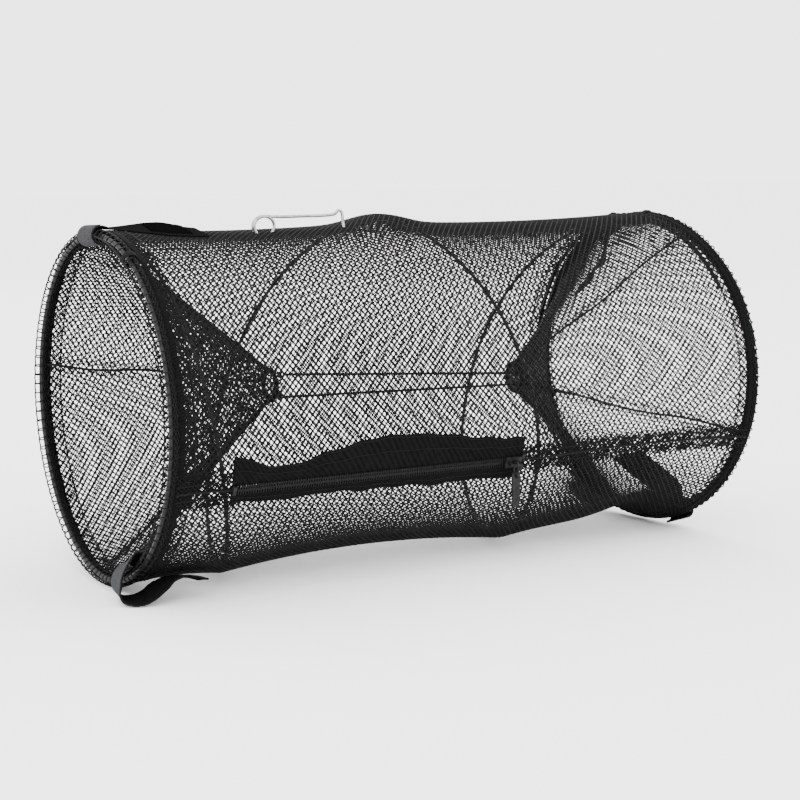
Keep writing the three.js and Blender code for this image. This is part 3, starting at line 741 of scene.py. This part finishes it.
def hoop_tie(side, body, angle):
    """Cord whipped round the hem where an end of the coil is tied to the hoop."""
    t = np.linspace(0, TIE_TURNS, TIE_TURNS * 20 + 1)
    lean = (t - TIE_TURNS / 2) * 1.15 / WIRE_RING * 180 / math.pi
    shape = bar(Shape(), ring_point(side, angle + lean, t * 360, 5.3), 0.6, 7)
    rigid(shape.piece(f"hoop_tie_{side}_whipping", CORD), body, "cord", f"hoop_tie_{side}")


for hoop_side in ("left", "right"):
    for build in (hoop_wire, hem_fold, hem_sleeve, hem_stitches, border_netting, border_stitch, hem_band):
        build(hoop_side)
hoop_tie("left", "end_left", 153.0)
hoop_tie("right", "end_right", 180.0)


# ---- spring coil
COIL_WIRE = 1.35
LASHING_TURNS = 170


def coil_point(turns, lift=0.0):
    x, angle = coil_x(turns), 180 - 360 * turns
    return around(x, angle, COIL_RADIUS + coil_lift(x, angle) + lift)


def spring_coil():
    shape = bar(Shape(), coil_point(np.linspace(0, COIL_TURNS, 520)), COIL_WIRE, 8)
    soft(shape.piece("spring_coil_wire", STEEL), "spring_steel", "spring_coil")


def coil_lashings():
    """Twine that spirals round the coil's wire and the netting and holds them together."""
    t = np.linspace(0.012, COIL_TURNS - 0.012, 3400)
    middle = coil_point(t, 0.9)
    tangent = unit(np.gradient(middle, axis=0))
    out = outward(180 - 360 * t)
    side = np.cross(tangent, out)
    phase = t / COIL_TURNS * 2 * np.pi * LASHING_TURNS
    path = middle + 1.9 * np.cos(phase)[:, None] * side + 2.5 * np.sin(phase)[:, None] * out
    soft(bar(Shape(), path, 0.3, 4).piece("coil_lashing", CORD), "cord")


spring_coil()
coil_lashings()

# ---- entrance funnels
MOUTH_RADIUS = 118.0
GORE_BOW = 5.0  # how far a panel bows in between its seams
FUNNEL_STRAND = 0.47
FUNNEL_PITCH = 5.0 / math.sqrt(2)


def funnel_point(side, share, angle, lift=0.0):
    """A point of a funnel: share is 0 at the hoop and 1 at the throat."""
    inward = 1 if side == "left" else -1
    mouth_x = 0.0 if side == "left" else TRAP_LENGTH + yaw_offset(angle, MOUTH_RADIUS)
    mouth = around(mouth_x + inward * 2.6, angle, MOUTH_RADIUS)
    x, z = THROATS[side]
    neck = around(x - inward * 1.0, angle, THROAT_RADIUS)
    neck[..., 2] += z - HOOP_RADIUS
    share = np.asarray(share, float)[..., None]
    seams = np.sort(np.array(FUNNEL_SEAMS[side]) % 360)
    wrapped = np.asarray(angle, float) % 360
    after = np.searchsorted(seams, wrapped) % 3
    high = seams[after] + 360 * ((after == 0) & (wrapped > seams[-1]))
    low = seams[after - 1] - 360 * ((after == 0) & (wrapped <= seams[0]))
    between = np.clip((wrapped - low) / (high - low), 0, 1)[..., None]
    bow = GORE_BOW * 4 * between * (1 - between) * 4 * share * (1 - share)
    return mouth + (neck - mouth) * share - outward(angle) * (bow - lift)


def funnel_netting(side):
    """Three panels of netting, each cut flat and sewn to the next along a seam."""
    run = THROATS["left"][0] if side == "left" else TRAP_LENGTH - THROATS["right"][0]
    slant = math.hypot(run, MOUTH_RADIUS - THROAT_RADIUS)
    taper = (MOUTH_RADIUS - THROAT_RADIUS) / slant
    far, near = MOUTH_RADIUS / taper, THROAT_RADIUS / taper
    seams = sorted(FUNNEL_SEAMS[side])
    reach = int(far / FUNNEL_PITCH) + 2
    steps = np.arange(-reach, reach + 1) * FUNNEL_PITCH
    p, q = steps[:, None], steps[None]
    shape = Shape()
    for n, low in enumerate(seams):
        high = seams[(n + 1) % 3] + (360 if n == 2 else 0)
        centre, half = (low + high) / 2, (high - low) / 2
        for hand in (1, -1):
            flat_x, flat_y = (q + hand * p) / math.sqrt(2), (hand * q - p) / math.sqrt(2)
            rho = np.hypot(flat_x, flat_y)
            psi = np.degrees(np.arctan2(flat_y, flat_x)) / taper
            inside = (rho < far) & (rho > near) & (np.abs(psi) < half)
            share = np.clip((far - rho) / (far - near), 0, 1)
            angle = centre + np.clip(psi, -half, half)
            path = funnel_point(side, share, angle)
            strands(shape, path, outward(angle), inside[:, 1:] & inside[:, :-1], FUNNEL_STRAND, 4)
    soft(shape.piece(f"funnel_netting_{side}_panels", TWINE), "netting", f"funnel_netting_{side}")


def funnel_seams(side):
    """A cord down each seam, with the panels' doubled edges on both sides of it."""
    cords, edges = Shape(), Shape()
    share = np.linspace(0, 1, 60)
    wander = 1.5 * np.sin(share * 9) * share * (1 - share) * 4
    s = np.linspace(0, 0.97, 90)
    radius = MOUTH_RADIUS + (THROAT_RADIUS - MOUTH_RADIUS) * s
    for angle in FUNNEL_SEAMS[side]:
        bar(cords, funnel_point(side, share, angle + wander, 0.3), 1.0, 8)
        for lane in (-1, 1):
            for row in range(3):
                zigzag = 1.2 + 1.6 * row + 1.1 * (np.arange(len(s)) % 2)
                spread = np.degrees(lane * zigzag / radius)
                bar(edges, funnel_point(side, s, angle + spread, 0.4), 0.3, 4)
    soft(cords.piece(f"funnel_seam_cords_{side}", CORD), "cord")
    soft(edges.piece(f"funnel_seam_edges_{side}", TWINE), "netting")


def throat_hem(side):
    """Two strands twisted round the throat over the netting's gathered edge."""
    x, z = THROATS[side]
    shape = Shape()
    t = 2 * np.pi * np.arange(180) / 180
    for start in (0, np.pi):
        phase = 22 * t + start
        radius = THROAT_RADIUS + np.cos(phase)
        path = np.stack([x + np.sin(phase), -radius * np.sin(t), z - radius * np.cos(t)], axis=-1)
        bar(shape, path, 1.05, 7, closed=True)
    rigid(shape.piece(f"throat_rim_{side}", CORD), "throat_" + side, "hem", f"throat_hem_{side}")


for funnel_side in ("left", "right"):
    funnel_netting(funnel_side)
    funnel_seams(funnel_side)
    throat_hem(funnel_side)


# ---- lengthwise seam
def seam_band(name, x_from, x_to, node, wide):
    """Two more layers of netting over the seam and three cords along it."""
    shape = Shape()
    net_band(shape, SEAM_ANGLE - wide, SEAM_ANGLE + wide, x_from, x_to, 0.8, 3.8, 0.42)
    net_band(shape, SEAM_ANGLE - 0.8 * wide, SEAM_ANGLE + 0.8 * wide, x_from, x_to, 1.4, 3.2, 0.4)
    soft(shape.piece(f"{name}_band", TWINE), "netting", node)
    cords = Shape()
    x = np.arange(x_from, x_to, 1.5)
    for angle, radius in ((-2.6, 0.5), (0.0, 0.9), (2.6, 0.5)):
        turned = SEAM_ANGLE + angle + 0.12 * np.sin(x * 1.1 + angle)
        bar(cords, on_netting(x, turned, 1.6), radius, 6)
    soft(cords.piece(f"{name}_cords", CORD), "cord")


seam_band("seam_left", NET_START, ZIP_START + 6, "seam_strip_left", 7.0)
seam_band("seam_right", ZIP_END - 5, netting_end("right", SEAM_ANGLE), "seam_strip_right", 5.0)


# ---- zipper
TEETH_EDGE = 1.2  # degrees from the zipper's middle to a tape's inner edge
TOOTH_PITCH = 1.9


def tape_point(x, side, across, lift):
    """A point of one tape: across runs from 0 at the teeth to 1 at the outer edge."""
    edges = np.array(TAPE_EDGES["upper" if side > 0 else "lower"])
    edge = through_stations(edges, (x - ZIP_START) / (ZIP_END - ZIP_START) * (len(edges) - 1))
    angle = TEETH_EDGE + (edge - TEETH_EDGE) * across + 0.25 * across * np.sin(x / 4.3 + side)
    ripple = across * (0.9 * np.sin(x / 9.5 + side * 1.3) + 0.6 * np.sin(x / 5.1 + side)) + 0.5
    return around(x, SEAM_ANGLE + side * angle, TAPE_RADIUS + np.maximum(ripple, -0.1) + lift)


def zipper_tape(name, side):
    steps, lanes = 220, 14
    x = np.linspace(ZIP_START, ZIP_END, steps)[:, None]
    v = np.linspace(0, 1, lanes)[None]
    ring = np.concatenate([tape_point(x, side, v, 0.45), tape_point(x, side, v, -0.35)[:, ::-1]], axis=1)
    faces = [grid(steps, 2 * lanes, closed_columns=True)] + end_caps(steps, 2 * lanes)
    if side < 0:
        faces = [face[:, ::-1] for face in faces]
    uv = np.stack(np.broadcast_arrays(x * 0.1, np.concatenate([v, v[:, ::-1]], axis=1) * 1.6), axis=-1)
    shape = Shape()
    shape.add(ring, faces, uv.reshape(-1, 2))
    soft(shape.piece(f"zipper_{name}_tape_woven", TAPE), "zip_tape", f"zipper_tape_{name}")
    stitches = Shape()
    x = np.arange(ZIP_START + 1, ZIP_END - 1, 0.9)
    for across in (0.55, 0.93):
        bar(stitches, tape_point(x, side, across, 0.62 + 0.22 * np.sin(x * 2 * np.pi / 3.6)), 0.3, 5)
    soft(stitches.piece(f"zipper_{name}_tape_stitches", CORD), "cord")


def zipper_teeth(name, side):
    """One tooth after another, set half a pitch from the other tape's."""
    shape = Shape()
    start = ZIP_START + 4 + (0 if side > 0 else TOOTH_PITCH / 2)
    box = np.array([[a, b, c] for a in (-1, 1) for b in (-1, 1) for c in (-1, 1)], float)
    faces = np.array([[0, 1, 3, 2], [4, 6, 7, 5], [0, 4, 5, 1], [2, 3, 7, 6], [0, 2, 6, 4], [1, 5, 7, 3]])
    wide = np.where(box[:, 1] > 0, 0.34, 0.46)
    angle = SEAM_ANGLE + side * (0.75 + 0.95 * box[:, 1])
    for x in np.arange(start, SLIDER_X - 7, TOOTH_PITCH):
        shape.add(around(x + wide * box[:, 0], angle, TAPE_RADIUS + 0.9 + box[:, 2]), [faces])
    soft(shape.piece(f"zipper_{name}_teeth_row", TEETH, smooth=False), "zip_teeth", f"zipper_teeth_{name}")


for zip_name, zip_side in (("upper", 1), ("lower", -1)):
    zipper_tape(zip_name, zip_side)
    zipper_teeth(zip_name, zip_side)


def pull_link():
    """The wire loop through the slider's bridge and the tab's eye."""
    place = around(SLIDER_X, SEAM_ANGLE, TAPE_RADIUS + 6.9)
    loop = [(-2.6, 0.6), (-1.6, 2.3), (0, 2.6), (1.6, 2.3), (2.6, 0.6),
            (2.6, -6.4), (1.6, -8.1), (0, -8.4), (-1.6, -8.1), (-2.6, -6.4)]
    path = smooth_line([place + np.array([0, y, z]) for y, z in loop], 0.5, True)
    shape = bar(Shape(), path, 0.7, 8, closed=True)
    rigid(shape.piece("zipper_pull_link_wire", ENAMEL), "zipper_pull", "zip_metal", "zipper_pull_link")


pull_link()


# ---- straps
WEBBING_THICKNESS = 1.1
PILE_THICKNESS = 0.7
STRAP_WIDTH = 25.0
STRAP_STEP = 1.2
PILE_WIDTH = 24.4
HOOKS_WIDTH = 21.0
ANCHOR_CENTRE = 121.9  # how far out a strap's loop goes round the hoop's wire
FLAP_OUT = ANCHOR_CENTRE + 6.5


def loop_arc(radius, start, end, count):
    """A strap's line round the hoop's wire."""
    a = np.radians(np.linspace(start, end, count))
    return [(radius * math.cos(t), ANCHOR_CENTRE + radius * math.sin(t)) for t in a]


def strap_frame(side, angle, line):
    """Points, out and across directions of a strap from its [along, out] line."""
    line = smooth_line(line, STRAP_STEP)
    run = unit(np.gradient(line, axis=0))
    lift = np.stack([-run[:, 1], run[:, 0]], axis=-1)
    middle = hoop_point(side, angle, *line.T)
    raised = hoop_point(side, angle, *(line + lift).T)
    sideways = hoop_point(side, angle, *line.T, 1.0)
    return middle, raised - middle, sideways - middle


def laid(frame_of_strap, in_loop, lay):
    """A strap's frame with its loose part rolled, shifted across and lifted as it runs to its end.

    `lay` holds tables of the three against the share of the loose part.
    """
    middle, out, across = frame_of_strap
    share = np.linspace(0, 1, len(middle))
    loose = np.clip((share - in_loop) / max(1 - in_loop, 0.01), 0, 1)[:, None]
    roll = np.radians(np.interp(loose, *lay["roll"])) + 0.04 * np.sin(share * 11)[:, None]
    shift, lift = np.interp(loose, *lay["shift"]), np.interp(loose, *lay["lift"])
    middle = middle + across * shift + out * lift
    c, s = np.cos(roll), np.sin(roll)
    return middle, out * c + across * s, across * c - out * s


def hoop_strap(side, angle, loop, flap, lay):
    """The frame of a strap that runs straight off its loop, and how much of it is in the loop."""
    whole = strap_frame(side, angle, loop + flap)
    in_loop = len(strap_frame(side, angle, loop)[0]) / len(whole[0])
    return laid(whole, in_loop, lay), in_loop


def hanging_strap(stations, loop_stations):
    """The frame of a strap through places in the trap, each with the way its width points."""
    stations = [place + wide for place, wide in stations]
    path = smooth_line(stations, STRAP_STEP)
    in_loop = len(smooth_line(stations[:loop_stations], STRAP_STEP)) / len(path)
    run = unit(np.gradient(path[:, :3], axis=0))
    wide = path[:, 3:]
    wide = unit(wide - run * (wide * run).sum(axis=1, keepdims=True))
    return (path[:, :3], np.cross(wide, run), wide), in_loop


def rested(frame_of_strap, gap):
    """The same strap let down, beyond the hem, until an edge of it meets the netting."""
    middle, out, across = frame_of_strap
    edges = middle[:, None] + across[:, None] * np.linspace(-STRAP_WIDTH / 2, STRAP_WIDTH / 2, 9)[:, None]
    y, z = edges[..., 1], edges[..., 2] - HOOP_RADIUS
    angle = np.degrees(np.arctan2(-y, -z))
    surface = NET_RADIUS - net_dip(edges[..., 0], angle) + STRAND_RADIUS + gap
    rise = (surface - np.hypot(y, z)).max(axis=1) * np.clip((middle[:, 0] - 5) / 5, 0, 1)
    straight_out = unit(middle * [0, 1, 1] - np.array([0, 0, HOOP_RADIUS]))
    return middle + straight_out * rise[:, None], out, across


def strap(name, body, frame_of_strap, in_loop, pad):
    """One strap: webbing from its loop round the hem to its loose end, with pile and hooks sewn on it."""
    middle, out, across = frame_of_strap
    shape = Shape()
    strip(shape, middle, out, across, STRAP_WIDTH, WEBBING_THICKNESS)
    rigid(shape.piece(f"strap_{name}_webbing", WEBBING), body, "webbing", f"strap_flap_{name}")
    top = middle + out * (WEBBING_THICKNESS + 0.02)
    count = len(middle)
    for part_name, node, material, start, end, width in (
            ("pile", "strap_loop_" + name, PILE, 0, in_loop * 0.97, PILE_WIDTH),
            ("hooks", "strap_pad_" + name, HOOKS, pad[0], pad[1], HOOKS_WIDTH)):
        part = slice(int(start * count), int(end * count))
        sewn = Shape()
        strip(sewn, top[part], out[part], across[part], width, PILE_THICKNESS)
        rigid(sewn.piece(f"strap_{name}_{part_name}", material), body, "fuzzy_pad", node)
    stitches = Shape()
    t = np.arange(-11, 11.1, 0.55)[:, None]
    height = WEBBING_THICKNESS + 0.05 + 0.18 * np.sin(t * 2 * np.pi / 2.2)
    for place in (in_loop + 0.02, in_loop + 0.06):
        s = int(place * count)
        bar(stitches, middle[s] + across[s] * t + out[s] * height, 0.28, 5)
    rigid(stitches.piece(f"strap_{name}_stitches", CORD), body, "cord")


def left_top_strap():
    """It runs off the hem along the netting and drifts to one side."""
    loop = loop_arc(5.7, 300, 78, 10)
    flap = [(3.6, FLAP_OUT - 1.3), (7, FLAP_OUT - 2.2), (12, FLAP_OUT - 2.4), (30, FLAP_OUT - 2.2),
            (54, FLAP_OUT - 2.4), (63, FLAP_OUT - 2.6), (72, FLAP_OUT - 2.8)]
    lay = {"roll": ((0, 0.08, 0.25, 0.6, 1), (0, 3, 8, 19, 15)),
           "shift": ((0, 0.1, 0.22, 0.6, 1), (0, 2, 5, 21, 24)),
           "lift": ((0, 1), (0, 0))}
    laid_strap, in_loop = hoop_strap("left", -176.0, loop, flap, lay)
    strap("left_top", "strap_left_top", rested(laid_strap, 0.3), in_loop, (0.62, 0.9))


def left_bottom_strap():
    """It hangs from the hem in a loose ring, then runs up along the netting."""
    over, level, edge_on = (0, 0.857, -0.515), (0.16, 0.985, 0.05), (0, 0.98, -0.2)
    stations = [((2.2, -59.6, 28.6), over), ((-3.0, -58.4, 29.8), over),
                ((-8.6, -58.4, 25.0), (0.05, 0.9, -0.4)), ((-12.6, -56.2, 17.0), (0.1, 0.96, -0.16)),
                ((-13.4, -55.6, 9.6), level), ((-10.2, -57.4, 4.3), level), ((-4.6, -60.6, 2.9), level),
                ((1.6, -63.8, 4.2), (0.18, 0.96, 0.12)), ((7.0, -66.4, 7.8), (0.17, 0.96, 0.18)),
                ((12.6, -68.0, 12.0), (0.14, 0.97, 0.12)), ((19.0, -67.4, 15.8), (0.05, 0.97, -0.1)),
                ((28.0, -66.8, 17.2), (0, 0.97, -0.2)), ((36.0, -67.4, 15.9), edge_on),
                ((45.0, -69.0, 13.0), edge_on)]
    hanging, in_loop = hanging_strap(stations, 8)
    strap("left_bottom", "strap_left_bottom", hanging, in_loop, (0.72, 0.9))


def tucked(name, angle, length, slant, lay, pad):
    """A strap of the right hoop, tucked into the mouth along the funnel."""
    run = TRAP_LENGTH - THROATS["right"][0] - 7.7
    lean = math.atan2(111.0 - THROAT_RADIUS, run)
    dx, dy = -math.cos(lean), -math.sin(lean)
    clear = 4.6
    start = (-5.4 - dy * clear, 110.2 + dx * clear)

    def down(s, lift):
        """A place on the strap's line, s down the funnel and lifted off it."""
        return (start[0] + dx * s - dy * lift, start[1] + dy * s + dx * lift)

    flap = [(-3.0, 111.6), down(4, 0), down(length * 0.3, 0.4), down(length * 0.65, 0.2), down(length, 0.8)]
    loop = loop_arc(6.4, 100, -108, 12)
    (middle, out, across), in_loop = hoop_strap("right", angle, loop, flap, lay)
    past = np.clip((np.linspace(0, 1, len(middle)) - in_loop) * 5, 0, 1)[:, None]
    slanted = unit(across - past * slant * np.array([1.0, 0, 0]))
    strap(name, "strap_" + name, (middle, out, slanted), in_loop, pad)


NEAR_LAY = {"roll": ((0, 0.2, 1), (0, 8, 10)),
            "shift": ((0, 1), (0, 0)),
            "lift": ((0, 0.3, 1), (0, 2, 2.5))}
FAR_LAY = {"roll": ((0, 0.1, 0.32, 0.52, 1), (0, 34, 42, 14, 11)),
           "shift": ((0, 0.3, 1), (0, -4, -14)),
           "lift": ((0, 0.5, 1), (0, 3, 5))}

left_top_strap()
left_bottom_strap()
tucked("right_near", 19.5, 51, 0.34, NEAR_LAY, (0.6, 0.92))
tucked("right_far", -157.0, 46, 0.0, FAR_LAY, (0.5, 0.72))

# ---- bait clip
CLIP_WIRE = 1.1
CLIP_EYE = 7.4
CLIP_LENGTH = 65.6
CLIP_STEP = 1.95  # from the clip's middle plane to its arm and its pin
CLIP_EYE_STRETCH = 1.12


def bait_clip_frame():
    """The hook at the far end, the arm back to the eye, and the eye's one and a half turns."""
    tip = CLIP_LENGTH
    hook = [(tip - 5, -CLIP_STEP, -8.8), (tip - 2, 0.4 - CLIP_STEP, -8.6), (tip, 0, -5), (tip, CLIP_STEP, 3),
            (tip - 0.8, CLIP_STEP, 8.6), (tip - 3.6, CLIP_STEP, 10.2), (tip - 7, CLIP_STEP, 7.4)]
    arm = [(tip * share, CLIP_STEP, 6.6) for share in (0.75, 0.5, 0.25)]
    share = np.linspace(0, 1, 25)
    a = np.pi / 2 + 3 * np.pi * share
    wide = CLIP_EYE_STRETCH * CLIP_EYE * np.cos(a)
    eye = np.stack([wide, CLIP_STEP * (1 - 2 * share), CLIP_EYE * np.sin(a)], axis=-1)
    shape = bar(Shape(), CLIP_PLACE + smooth_line(np.concatenate([hook, arm, eye]), 0.8), CLIP_WIRE, 10)
    rigid(shape.piece("bait_clip_wire", BRIGHT), "bait_clip", "bright_wire", "bait_clip_frame")


def bait_clip_pin():
    """The straight pin from the eye, sharpened where the hook holds it."""
    start = np.array([CLIP_WIRE + 0.35, -CLIP_STEP, -CLIP_EYE])
    end = np.array([CLIP_LENGTH - 4, -CLIP_STEP, -CLIP_EYE + 0.8])
    t = np.linspace(0, 1, 60)
    taper = np.clip((1 - t) * np.linalg.norm(end - start) / 6, 0.2, 1)
    shape = bar(Shape(), CLIP_PLACE + start + (end - start) * t[:, None], CLIP_WIRE * taper, 10)
    rigid(shape.piece("bait_clip_pin_wire", BRIGHT), "bait_clip_pin", "bright_wire", "bait_clip_pin")


bait_clip_frame()
bait_clip_pin()

# ---- CAD nodes that stay
EDGE_ROUNDING = 0.28

for node_name in ("zipper_slider", "zipper_pull_tab", "zipper_top_stop_upper", "zipper_top_stop_lower",
                  "zipper_bottom_stop"):
    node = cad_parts[node_name]
    node.data.materials.clear()
    node.data.materials.append(ENAMEL)
    bevel = node.modifiers.new("rounded edges", "BEVEL")
    bevel.width, bevel.segments, bevel.limit_method = EDGE_ROUNDING * MM, 3, "ANGLE"


# ---- floor and light
def add_floor():
    bpy.ops.mesh.primitive_plane_add(size=12, location=(0.2375, 0, -0.0006))
    floor = bpy.context.object
    floor.name = "floor"
    floor.data.materials.append(Nodes("pale_floor", (0.97, 0.97, 0.97), 0.9, specular=0.05).material)


def area_light(name, place, size, power):
    """A round light that is turned to the trap's middle."""
    data = bpy.data.lights.new(name, "AREA")
    data.shape, data.size, data.energy = "DISK", size, power
    light = new_object(name, data)
    light.location = place
    light.rotation_euler = (Vector((0.24, 0, 0.13)) - Vector(place)).to_track_quat("-Z", "Y").to_euler()


def add_lights():
    world = bpy.data.worlds.new("studio")
    world.use_nodes = True
    background = world.node_tree.nodes["Background"]
    background.inputs["Color"].default_value = (1, 1, 1, 1)
    background.inputs["Strength"].default_value = 3.6
    bpy.context.scene.world = world
    area_light("key", (-0.9, -1.6, 1.9), 1.6, 30)
    area_light("fill", (1.6, -1.2, 1.2), 1.4, 12)
    area_light("back", (0.4, 1.8, 1.6), 1.6, 16)


add_floor()
add_lights()
